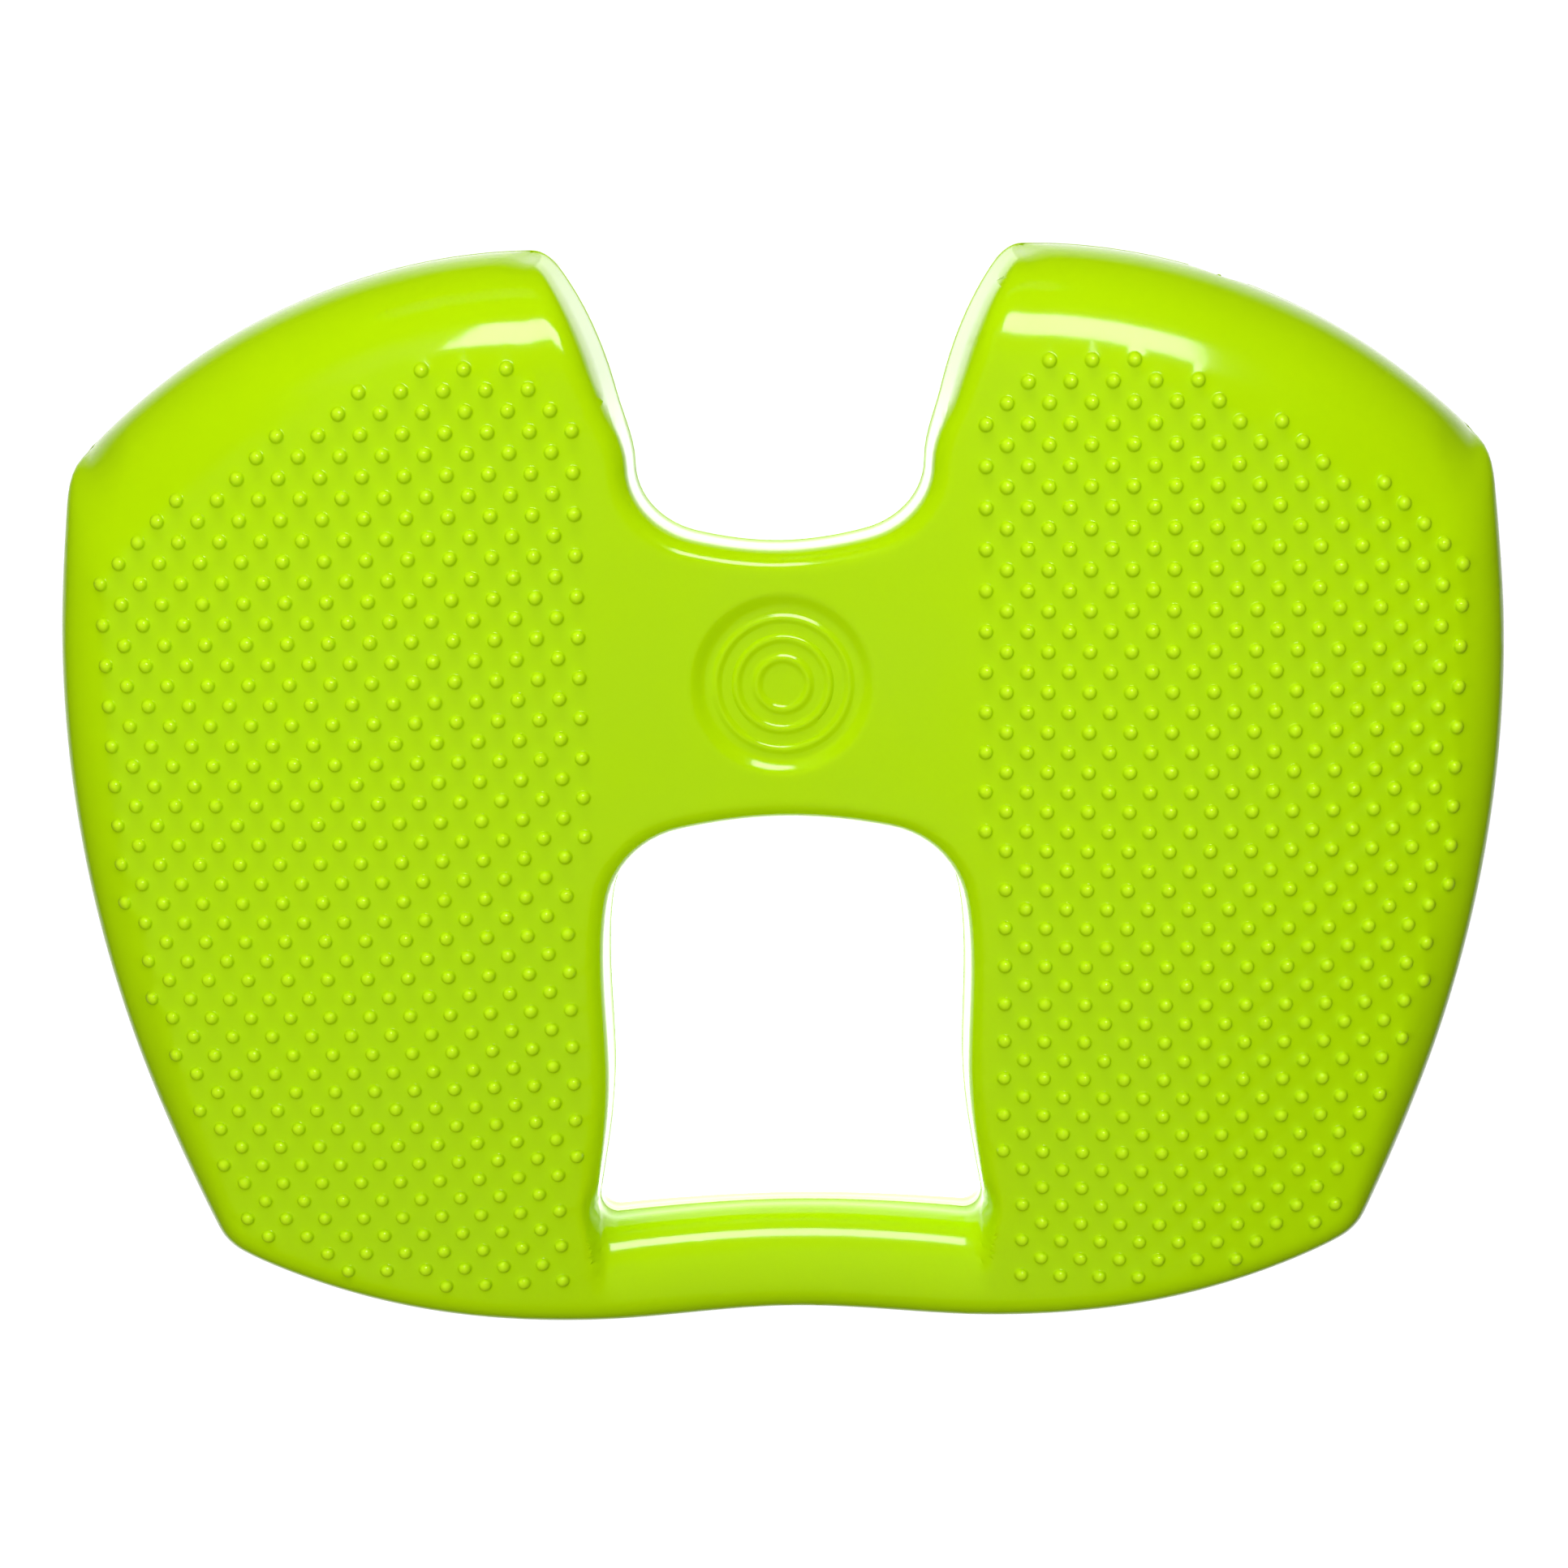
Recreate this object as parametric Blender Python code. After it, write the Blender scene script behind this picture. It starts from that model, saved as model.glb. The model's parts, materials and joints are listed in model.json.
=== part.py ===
"""Air-filled balance pad for feet and seat.

The pad is one hollow, seamless moulding of soft PVC: two raised lobes joined by a low
bridge, a notch at the rear, a hand opening and a round grip bar at the front.  Air goes
in through a valve in the rear wall, to the right: a bonded bush holds a self-closing
rubber core, and a pull-out plug covers them both.

Metres.  +X to the right, +Y to the rear, +Z up.  The origin is on the floor, in the
middle of the pad's length and depth.
"""
import math

import bmesh
import bpy
import numpy as np
from mathutils import Matrix, Vector
from mathutils.geometry import delaunay_2d_cdt, interpolate_bezier

MM = 0.001
GAP = 0.3 * MM                    # left between pieces that touch

# Plan of the right half at the mould's parting line, in stretches from the front's middle
# to the rear notch's middle.  Each anchor is x, y (mm) and the heading there (degrees).
FRONT_AND_SIDE = ((0, -150, 0), (58, -152, 2), (156.9, -127.2, 28), (164.2, -119.5, 67),
                  (184, -63.2, 75), (195.8, 53.8, 94), (193, 84.9, 93), (188.1, 102, 138))
REAR_ARC = ((188.1, 102, 138), (142.2, 134.3, 154), (66.4, 152.7, 180))
REAR_NOTCH = ((66.4, 152.7, 180), (57.2, 145.5, 237), (44.5, 115.1, 256), (39.8, 95.3, 270),
              (23.3, 76.3, 194), (0, 73.2, 180))
HAND_OPENING = ((0, -1.2, 0), (28.8, -4.2, -11), (42.8, -12, -48), (48.9, -24.5, -80),
                (49.9, -72, -90), (55.4, -115.2, -80), (49.7, -122.1, -185), (0, -119.7, -180))
TURN_STEP = math.radians(15)      # most that the outline turns from one vertex to the next
LENGTH_STEP = 16 * MM             # and most that it runs straight on

# Heights
CREST_HEIGHT = 56 * MM            # top of a lobe, level with the pad's middle
WEDGE_SLOPE = 0.072               # the top falls towards the front
LENGTHWISE_DROP = 6.6 * MM        # and curves down this much at both ends
HALF_DEPTH = 150 * MM
LOBE_CREST_X = 118 * MM           # line that the lobe is highest along
BRIDGE_DROP = 9.5 * MM            # how far the bridge dips below the lobes
SIDE_DROP = 5.2 * MM              # how far the lobe falls from its crest line
SIDE_X = 200 * MM                 # to here
PARTING_SHARE = 0.46              # height of the parting line, as a share of the top's

# Rounding, measured inwards in plan from the parting line
TOP_REACH = 12 * MM
TOP_POWER = 2.7
REAR_REACH = 36 * MM              # the rear rolls down over a wide band with no nubs
REAR_POWER = 2.2
BASE_REACH = 6 * MM
BASE_POWER = 2.4
BAR_REACH = 16 * MM               # the grip bar is nearly round
BAR_FROM_Y = -100 * MM
BAR_BLEND = 15 * MM
BAR_HALF_LENGTH = 58 * MM
TOP_RINGS = (0.4 * MM, 1.5 * MM, 3.6 * MM, 7 * MM)
BASE_RINGS = (0.6 * MM, 3 * MM, 7 * MM)
DEEPEST_RING = 8 * MM             # a ring farther in than this would cross itself in tight corners
TOP_SPACING = 17 * MM
BASE_SPACING = 60 * MM
EDGE_CLEARANCE = 0.5              # of the grid's points, as a share of their spacing
EXTRA_CLEARANCE = 0.35

WALL = 3 * MM
MEDALLION_Y = 36.5 * MM
MEDALLION_RADIUS = 25.5 * MM
MEDALLION_FLOOR_RADIUS = 23.5 * MM
MEDALLION_DEPTH = 1.2 * MM
MEDALLION_SIDES = 28

# Valve, along its own axis: 0 at the pad's wall, positive outwards
VALVE_X = 119 * MM
VALVE_HEIGHT = 28 * MM
POCKET_RADIUS = 7.5 * MM
POCKET_FLOOR = -4.2 * MM
HOLE_RADIUS = 5.3 * MM
BOSS_RADIUS = 11 * MM
BOSS_END = -9 * MM
BUSH_TOP = -1.9 * MM
BUSH_END = -13 * MM
BORE_RADIUS = 2.7 * MM
CORE_TOP = -8.3 * MM
CORE_END = -11.7 * MM
CORE_RADIUS = 3.3 * MM
FUNNEL_RADIUS = 1.2 * MM
FUNNEL_DEPTH = 1.2 * MM
SLIT_LENGTH = 2.4 * MM
SLIT_DEPTH = 3 * MM
SNAP_LIP = 0.9 * MM               # how far the bush's lip stands over the boss
PLUG_SEAT = -3.3 * MM
PLUG_HEAD_RADIUS = 4.3 * MM
PLUG_HEAD_THICKNESS = 1.2 * MM
PLUG_TIP = -7.5 * MM
PULL_RIB = (1.1 * MM, 7 * MM, 2.4 * MM)
CUTTER_REACH = 5 * MM             # how far cutters stand out of the wall
ROUND_STEPS = 28


def clear_scene():
    for leftover in list(bpy.data.objects):
        bpy.data.objects.remove(leftover)


def material(name, colour, roughness):
    made = bpy.data.materials.new(name)
    made.use_nodes = True
    shader = made.node_tree.nodes["Principled BSDF"]
    shader.inputs["Base Color"].default_value = (*colour, 1)
    shader.inputs["Roughness"].default_value = roughness
    shader.inputs["Metallic"].default_value = 0
    return made


def new_object(name, mesh, look=None, parent=None):
    made = bpy.data.objects.new(name, mesh)
    bpy.context.collection.objects.link(made)
    made.parent = parent
    if look:
        mesh.materials.append(look)
    return made


def hide_as_cutter(guide):
    guide.hide_render = True
    guide.display_type = "WIRE"


def boolean(target, tool, operation):
    step = target.modifiers.new(f"{operation.lower()} {tool.name}", "BOOLEAN")
    step.operation = operation
    step.object = tool
    hide_as_cutter(tool)


# --- plan ---------------------------------------------------------------------------

def smooth_stretch(anchors):
    """Points along smooth curves through the anchors, the last anchor left out."""
    points = []
    for (x0, y0, heading0), (x1, y1, heading1) in zip(anchors, anchors[1:]):
        start = Vector((x0, y0)) * MM
        end = Vector((x1, y1)) * MM
        turn = abs(math.radians(heading1 - heading0))
        chord = (end - start).length
        handle = chord / (3 * math.cos(turn / 4) ** 2)
        leave = start + handle * Vector((math.cos(math.radians(heading0)), math.sin(math.radians(heading0))))
        arrive = end - handle * Vector((math.cos(math.radians(heading1)), math.sin(math.radians(heading1))))
        steps = max(1, round(turn / TURN_STEP), round(chord / LENGTH_STEP))
        points += interpolate_bezier(start, leave, arrive, end, steps + 1)[:-1]
    return points


def mirrored_loop(half):
    """A closed loop from points that run from one end of the mirror line to the other."""
    right = np.array([tuple(point) for point in half])
    left = right[1:-1][::-1] * (-1, 1)
    return np.concatenate([right, left])


def inset_loop(loop, distance):
    """The loop moved inwards: every vertex along the bisector of its two edges."""
    before = loop - np.roll(loop, 1, axis=0)
    after = np.roll(loop, -1, axis=0) - loop
    before /= np.linalg.norm(before, axis=1)[:, None]
    after /= np.linalg.norm(after, axis=1)[:, None]
    bisector = np.stack([-(before + after)[:, 1], (before + after)[:, 0]], axis=1)
    length_squared = (bisector ** 2).sum(axis=1)
    return loop + distance * 2 * bisector / length_squared[:, None]


def distance_to(points, line):
    """Distance from each point to a line of joined points."""
    start, step = line[:-1], np.diff(line, axis=0)
    offset = points[:, None, :] - start[None, :, :]
    along = (offset * step).sum(axis=2) / (step ** 2).sum(axis=1)
    nearest = offset - np.clip(along, 0, 1)[:, :, None] * step
    return np.linalg.norm(nearest, axis=2).min(axis=1)


def inside(points, loop):
    """Whether each point is inside the closed loop, by counting edges crossed."""
    x, y = points[:, 0][:, None], points[:, 1][:, None]
    x0, y0 = loop[:, 0], loop[:, 1]
    x1, y1 = np.roll(x0, -1), np.roll(y0, -1)
    spans = (y0 > y) != (y1 > y)
    rise = np.where(y1 == y0, 1, y1 - y0)
    crossing = x0 + (y - y0) * (x1 - x0) / rise
    return (spans & (x < crossing)).sum(axis=1) % 2 == 1


class Plan:
    """The pad's outline and hand opening, moved inwards by a wall's thickness."""

    def __init__(self, inset):
        front = smooth_stretch(FRONT_AND_SIDE)
        rear = smooth_stretch(REAR_ARC)
        notch = smooth_stretch(REAR_NOTCH)
        end = Vector(REAR_NOTCH[-1][:2]) * MM
        outline = inset_loop(mirrored_loop(front + rear + notch + [end]), inset)
        opening_half = smooth_stretch(HAND_OPENING) + [Vector(HAND_OPENING[-1][:2]) * MM]
        opening = inset_loop(mirrored_loop(opening_half), inset)
        self.loops = (outline, opening)
        first, last = len(front), len(front) + len(rear)
        right_rear = outline[first:last + 1]
        left_rear = right_rear * (-1, 1)
        self.rear_lines = (right_rear, left_rear)
        left_start = len(outline) - last
        front_line = np.concatenate([outline[len(outline) - first:], outline[:first + 1]])
        notch_line = outline[last:left_start + 1]
        opening_line = np.concatenate([opening, opening[:1]])
        self.other_lines = (front_line, notch_line, opening_line)

    def rear_distance(self, points):
        return np.min([distance_to(points, line) for line in self.rear_lines], axis=0)

    def other_distance(self, points):
        return np.min([distance_to(points, line) for line in self.other_lines], axis=0)


# --- heights ------------------------------------------------------------------------

def fullness(distance, reach, power):
    """Rises from 0 at the edge to 1 at the reach, as a quarter of a superellipse."""
    left = 1 - np.clip(distance / reach, 0, 1)
    return (1 - left ** power) ** (1 / power)


def smooth_step(value):
    value = np.clip(value, 0, 1)
    return value * value * (3 - 2 * value)


def crest_height(x, y):
    """The top's height away from every edge."""
    along = CREST_HEIGHT + WEDGE_SLOPE * y - LENGTHWISE_DROP * (y / HALF_DEPTH) ** 2
    span = np.abs(x) / LOBE_CREST_X
    bridge = BRIDGE_DROP * (0.5 + 0.5 * np.cos(math.pi * np.clip(span, 0, 1)))
    beyond = np.clip(np.abs(x) - LOBE_CREST_X, 0, None)
    side = SIDE_DROP * (beyond / (SIDE_X - LOBE_CREST_X)) ** 2
    return along - bridge - side


def parting_height(x, y):
    return PARTING_SHARE * crest_height(x, y)


def top_height(plan, points, lowered):
    x, y = points[:, 0], points[:, 1]
    crest = crest_height(x, y) - lowered
    parting = parting_height(x, y)
    near_bar = smooth_step((BAR_FROM_Y - y) / BAR_BLEND) * (np.abs(x) < BAR_HALF_LENGTH)
    reach = TOP_REACH + (BAR_REACH - TOP_REACH) * near_bar
    edges = fullness(plan.other_distance(points), reach, TOP_POWER)
    rear = fullness(plan.rear_distance(points), REAR_REACH, REAR_POWER)
    return parting + (crest - parting) * edges * rear


def base_height(plan, points, raised):
    parting = parting_height(points[:, 0], points[:, 1])
    distance = np.minimum(plan.other_distance(points), plan.rear_distance(points))
    return parting - (parting - raised) * fullness(distance, BASE_REACH, BASE_POWER)


def medallion_dish(points):
    """How far the round recess in the bridge lies below the top."""
    radius = np.hypot(points[:, 0], points[:, 1] - MEDALLION_Y)
    ramp = (MEDALLION_RADIUS - radius) / (MEDALLION_RADIUS - MEDALLION_FLOOR_RADIUS)
    return MEDALLION_DEPTH * np.clip(ramp, 0, 1)


def medallion_rings():
    turns = np.linspace(0, 2 * math.pi, MEDALLION_SIDES, endpoint=False)
    unit = np.stack([np.cos(turns), np.sin(turns)], axis=1)
    rings = [radius * unit + (0, MEDALLION_Y) for radius in (MEDALLION_FLOOR_RADIUS, MEDALLION_RADIUS)]
    return np.concatenate(rings)


# --- the moulding's surfaces ----------------------------------------------------------

def inner_points(loops, spacing, extra):
    """A triangular grid inside the loops and clear of them, with the extra points."""
    rows = np.arange(-HALF_DEPTH, HALF_DEPTH, spacing * math.sqrt(3) / 2)
    columns = np.arange(-12, 13) * spacing
    grid = [(x + (index % 2) * spacing / 2, y) for index, y in enumerate(rows) for x in columns]
    grid = np.array(grid)
    outline, opening = (np.concatenate([loop, loop[:1]]) for loop in loops)
    clear = inside(grid, loops[0]) & ~inside(grid, loops[1])
    clear &= distance_to(grid, outline) > EDGE_CLEARANCE * spacing
    clear &= distance_to(grid, opening) > EDGE_CLEARANCE * spacing
    if len(extra):
        spread = np.linalg.norm(grid[:, None, :] - extra[None, :, :], axis=2).min(axis=1)
        clear &= spread > EXTRA_CLEARANCE * spacing
        return np.concatenate([grid[clear], extra])
    return grid[clear]


def skin_side(shape, plan, rim, ring_insets, spacing, extra, height, outward_up):
    """One side of the moulding, from its shared rim at the parting line to its middle."""
    faces = []
    edge_rings = rim
    for inset in ring_insets:
        rings = []
        for loop in plan.loops:
            points = inset_loop(loop, inset)
            rings.append([shape.verts.new((x, y, z)) for (x, y), z in zip(points, height(points))])
        for outer, inner in zip(edge_rings, rings):
            count = len(outer)
            for index in range(count):
                after = (index + 1) % count
                faces.append((outer[index], outer[after], inner[after], inner[index]))
        edge_rings = rings
    last_loops = [inset_loop(loop, ring_insets[-1]) for loop in plan.loops]
    filling = inner_points(last_loops, spacing, extra)
    corners = [*edge_rings[0], *edge_rings[1]]
    corners += [shape.verts.new((x, y, z)) for (x, y), z in zip(filling, height(filling))]
    flat = np.concatenate([*last_loops, filling])
    counts = [len(loop) for loop in last_loops]
    borders = [(i, (i + 1) % counts[0]) for i in range(counts[0])]
    borders += [(counts[0] + i, counts[0] + (i + 1) % counts[1]) for i in range(counts[1])]
    triangles = delaunay_2d_cdt([Vector(point) for point in flat], borders, [], 0, 1e-9)[2]
    middles = np.array([flat[list(triangle)].mean(axis=0) for triangle in triangles])
    kept = inside(middles, last_loops[0]) & ~inside(middles, last_loops[1])
    faces += [tuple(corners[i] for i in triangle) for triangle, keep in zip(triangles, kept) if keep]
    for corner_list in faces:
        shape.faces.new(corner_list if outward_up else corner_list[::-1])


def moulding_mesh(name, inset, extra):
    """A closed pillow shape; inset moves its whole surface inwards."""
    plan = Plan(inset)
    shape = bmesh.new()
    rim = []
    for loop in plan.loops:
        heights = parting_height(loop[:, 0], loop[:, 1])
        rim.append([shape.verts.new((x, y, z)) for (x, y), z in zip(loop, heights)])

    def top(points):
        dish = medallion_dish(points) if len(extra) else 0
        return top_height(plan, points, inset) - dish

    def base(points):
        return base_height(plan, points, inset)

    top_rings = [ring for ring in TOP_RINGS if inset + ring < DEEPEST_RING]
    base_rings = [ring for ring in BASE_RINGS if inset + ring < DEEPEST_RING]
    skin_side(shape, plan, rim, top_rings, TOP_SPACING, extra, top, True)
    skin_side(shape, plan, rim, base_rings, BASE_SPACING, np.empty((0, 2)), base, False)
    mesh = bpy.data.meshes.new(name)
    shape.to_mesh(mesh)
    shape.free()
    mesh.shade_smooth()
    return mesh


# --- valve ------------------------------------------------------------------------------

def valve_axis():
    """An empty in the rear wall: its Z points out of the pad and its Y points up."""
    rear = Plan(0).rear_lines[0]
    index = int(np.argmax(rear[:, 0] < VALVE_X))
    start, end = rear[index - 1], rear[index]
    share = (start[0] - VALVE_X) / (start[0] - end[0])
    x, y = start + share * (end - start)
    out = Vector((end[1] - start[1], start[0] - end[0], 0)).normalized()
    up = Vector((0, 0, 1))
    frame = Matrix((up.cross(out), up, out)).transposed().to_4x4()
    frame.translation = (x, y, VALVE_HEIGHT)
    empty = bpy.data.objects.new("valve_axis", None)
    bpy.context.collection.objects.link(empty)
    empty.matrix_world = frame
    return empty


def turned(name, profile, closed, look, parent):
    """A round piece from radius and place pairs that run down its outer side."""
    mesh = bpy.data.meshes.new(name)
    count = len(profile)
    edges = [(i, i + 1) for i in range(count - 1)]
    if closed:
        edges.append((count - 1, 0))
    mesh.from_pydata([(radius, 0, place) for radius, place in profile], edges, [])
    piece = new_object(name, mesh, look, parent)
    screw = piece.modifiers.new("turn", "SCREW")
    screw.steps = ROUND_STEPS
    screw.render_steps = ROUND_STEPS
    screw.use_merge_vertices = True
    screw.merge_threshold = 0.00001
    return piece


def block(name, size, centre, parent):
    shape = bmesh.new()
    bmesh.ops.create_cube(shape, size=1)
    bmesh.ops.transform(shape, matrix=Matrix.LocRotScale(centre, None, size), verts=shape.verts)
    mesh = bpy.data.meshes.new(name)
    shape.to_mesh(mesh)
    shape.free()
    return new_object(name, mesh, None, parent)


def make_pad_skin(look, axis):
    skin = new_object("pad_skin", moulding_mesh("pad_skin", 0, medallion_rings()), look)
    chamber = new_object("air_chamber", moulding_mesh("air_chamber", WALL, np.empty((0, 2))))
    boss = turned("valve_boss", ((0, CUTTER_REACH), (BOSS_RADIUS, CUTTER_REACH),
                                 (BOSS_RADIUS, BOSS_END), (0, BOSS_END)), False, None, axis)
    boolean(chamber, boss, "DIFFERENCE")
    boolean(skin, chamber, "DIFFERENCE")
    passage_end = BOSS_END - 2 * MM
    passage = turned("valve_passage", ((0, CUTTER_REACH), (POCKET_RADIUS, CUTTER_REACH),
                                       (POCKET_RADIUS, POCKET_FLOOR), (HOLE_RADIUS, POCKET_FLOOR),
                                       (HOLE_RADIUS, passage_end), (0, passage_end)), False, None, axis)
    boolean(skin, passage, "DIFFERENCE")


def make_valve_housing(look, axis):
    """A flanged bush that a snap lip holds in the wall's boss."""
    flange = POCKET_RADIUS - GAP
    barrel = HOLE_RADIUS - GAP
    lip = HOLE_RADIUS + SNAP_LIP
    lip_top = BOSS_END - GAP
    chamber_radius = CORE_RADIUS + GAP
    chamber_top = CORE_TOP + GAP
    chamber_end = CORE_END - GAP
    seat_radius = PLUG_HEAD_RADIUS + GAP
    end_radius = 2 / 3 * CORE_RADIUS
    profile = ((seat_radius, BUSH_TOP), (flange, BUSH_TOP), (flange, POCKET_FLOOR + GAP),
               (barrel, POCKET_FLOOR + GAP), (barrel, lip_top), (lip, lip_top),
               (barrel, BUSH_END), (end_radius, BUSH_END), (end_radius, chamber_end),
               (chamber_radius, chamber_end), (chamber_radius, chamber_top),
               (BORE_RADIUS, chamber_top), (BORE_RADIUS, PLUG_SEAT), (seat_radius, PLUG_SEAT))
    turned("valve_housing", profile, True, look, axis)


def make_valve_core(look, axis):
    """A rubber disc with a funnel for the pump's needle and a slit that closes itself."""
    funnel_end = CORE_TOP - FUNNEL_DEPTH
    core = turned("valve_core", ((0, funnel_end), (FUNNEL_RADIUS, CORE_TOP), (CORE_RADIUS, CORE_TOP),
                                 (CORE_RADIUS, CORE_END), (0, CORE_END)), False, look, axis)
    slit = block("core_slit", Vector((SLIT_LENGTH, GAP, 2 * SLIT_DEPTH)), Vector((0, 0, CORE_END)), axis)
    boolean(core, slit, "DIFFERENCE")


def make_valve_plug(look, axis):
    """The pull-out plug: head, stem and snap ridge, with a rib to pull on."""
    head_base = PLUG_SEAT + GAP
    head_top = head_base + PLUG_HEAD_THICKNESS
    ridge = BORE_RADIUS - GAP
    stem = ridge - 0.3 * MM
    chamfer = 0.3 * MM
    profile = ((0, head_top), (PLUG_HEAD_RADIUS - chamfer, head_top),
               (PLUG_HEAD_RADIUS, head_top - chamfer), (PLUG_HEAD_RADIUS, head_base),
               (stem, head_base), (stem, PLUG_TIP + 2.2 * MM), (ridge, PLUG_TIP + 1.7 * MM),
               (ridge, PLUG_TIP + 1.1 * MM), (stem - 0.8 * MM, PLUG_TIP), (0, PLUG_TIP))
    plug = turned("valve_plug", profile, False, look, axis)
    rib_height = PULL_RIB[2]
    sunk = 0.6 * MM
    rib_centre = Vector((0, 0, head_top + rib_height / 2 - sunk))
    rib = block("pull_rib", Vector(PULL_RIB), rib_centre, axis)
    round_off = rib.modifiers.new("round_off", "BEVEL")
    round_off.width = 0.35 * MM
    round_off.segments = 2
    boolean(plug, rib, "UNION")


def main():
    clear_scene()
    lime = material("lime_pvc", (0.46, 0.77, 0.003), 0.22)
    lime_bush = material("lime_bush", (0.40, 0.70, 0.003), 0.35)
    lime_plug = material("lime_plug", (0.43, 0.73, 0.003), 0.30)
    rubber = material("pale_rubber", (0.55, 0.56, 0.50), 0.60)
    axis = valve_axis()
    make_pad_skin(lime, axis)
    make_valve_housing(lime_bush, axis)
    make_valve_core(rubber, axis)
    make_valve_plug(lime_plug, axis)


main()
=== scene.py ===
"""Looks of the balance pad: the nubbed, glossy lime moulding and its valve.

Every length is in metres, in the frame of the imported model: +X to the right, +Y to the
rear, +Z up, with the origin on the floor in the middle of the pad.
"""
import json
import math

import bmesh
import bpy
import numpy as np
from mathutils import Matrix, Vector
from mathutils.geometry import delaunay_2d_cdt, interpolate_bezier
from mathutils.kdtree import KDTree

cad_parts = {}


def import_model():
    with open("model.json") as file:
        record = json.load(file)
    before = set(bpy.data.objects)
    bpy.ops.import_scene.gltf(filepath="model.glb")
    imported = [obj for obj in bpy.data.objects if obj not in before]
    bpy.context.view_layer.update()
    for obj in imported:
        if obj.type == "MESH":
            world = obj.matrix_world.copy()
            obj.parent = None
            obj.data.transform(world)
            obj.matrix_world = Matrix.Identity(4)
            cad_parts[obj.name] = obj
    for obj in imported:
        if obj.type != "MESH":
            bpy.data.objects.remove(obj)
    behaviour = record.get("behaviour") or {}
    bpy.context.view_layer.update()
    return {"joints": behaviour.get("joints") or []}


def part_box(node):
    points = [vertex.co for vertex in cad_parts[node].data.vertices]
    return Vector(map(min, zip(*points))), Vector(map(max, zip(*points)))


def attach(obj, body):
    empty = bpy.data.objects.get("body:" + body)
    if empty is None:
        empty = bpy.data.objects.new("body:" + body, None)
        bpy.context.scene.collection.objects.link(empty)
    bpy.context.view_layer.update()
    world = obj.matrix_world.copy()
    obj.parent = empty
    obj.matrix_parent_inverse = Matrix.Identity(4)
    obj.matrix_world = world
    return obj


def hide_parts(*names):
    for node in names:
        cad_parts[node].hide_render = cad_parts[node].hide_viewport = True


MM = 0.001

# Plan at the mould's parting line: x, y (mm) and heading (degrees), right half only
FRONT_AND_SIDE = ((0, -150, 0), (58, -152, 2), (156.9, -127.2, 28), (164.2, -119.5, 67),
                  (184, -63.2, 75), (195.8, 53.8, 94), (193, 84.9, 93), (188.1, 102, 138))
REAR_ARC = ((188.1, 102, 138), (142.2, 134.3, 154), (66.4, 152.7, 180))
REAR_NOTCH = ((66.4, 152.7, 180), (57.2, 145.5, 237), (44.5, 115.1, 256), (39.8, 95.3, 270),
              (23.3, 76.3, 194), (0, 73.2, 180))
HAND_OPENING = ((0, -1.2, 0), (28.8, -4.2, -11), (42.8, -12, -48), (48.9, -24.5, -80),
                (49.9, -72, -90), (55.4, -115.2, -80), (49.7, -122.1, -185), (0, -119.7, -180))
TURN_STEP = math.radians(6)
LENGTH_STEP = 3 * MM
POINTS_AT_ONCE = 4000

# Heights of the top
CREST_HEIGHT = 56 * MM
WEDGE_SLOPE = 0.072
LENGTHWISE_DROP = 6.6 * MM
HALF_DEPTH = 150 * MM
LOBE_CREST_X = 118 * MM
BRIDGE_DROP = 9.5 * MM
SIDE_DROP = 5.2 * MM
SIDE_X = 200 * MM
PARTING_SHARE = 0.46

# Edges: how far a wall leans in from the parting line, and the fillet that it ends in
FRONT_LEAN, FRONT_FILLET = math.radians(3), 8 * MM
SIDE_FILLET, SIDE_STRETCH = 12 * MM, 1.5
SIDE_FROM_X, SIDE_BLEND = 150 * MM, 30 * MM
NOTCH_LEAN, NOTCH_FILLET = math.radians(1.5), 6 * MM
NOTCH_MOUTH_LEAN = math.radians(7)
NOTCH_MOUTH_Y = 95 * MM
NOTCH_MOUTH_BLEND = 28 * MM
OPENING_LEAN, OPENING_FILLET = math.radians(1), 5 * MM
BASE_LEAN, BASE_FILLET = math.radians(0.7), 4 * MM
BAR_FILLET, BAR_BASE_FILLET = 15.5 * MM, 10 * MM
BAR_STRETCH = 1.5                 # the bar's rear is flatter towards its top than a round one
BAR_FROM_Y = -108 * MM
BAR_BLEND = 8 * MM
BAR_HALF_LENGTH = 56.5 * MM
BAR_END_BLEND = 5 * MM
REAR_REACH = 36 * MM
REAR_POWER = 2.2
RING_COUNT = 9
LAST_RING = 1.9 * MM
RING_LENGTH = 20 * MM             # the rings' spacing up a straight wall
RING_BEND = 0.25                  # and how much the wall bends from one ring to the next
FIRST_DEPTH = 0.004 * MM          # depths at which the wall's bend is read, to place the rings
DEPTH_COUNT = 48
LOOSE_INSETS = tuple(MM * inset for inset in (3.1, 4, 4.9, 5.8, 6.8, 8, 9.4, 11))
LOOSE_GAP = 0.75 * MM             # how near a border a loose point may be
FLASH = 0.22 * MM                 # the parting line's thin raised seam
FLASH_HALF_HEIGHT = 0.35 * MM
TOP_SPACING = 2.3 * MM
BASE_SPACING = 12 * MM
GRID_GAP = 0.6                    # how near other points a grid point may be, in spacings
GRID_HALF_WIDTH = 205 * MM

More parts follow.
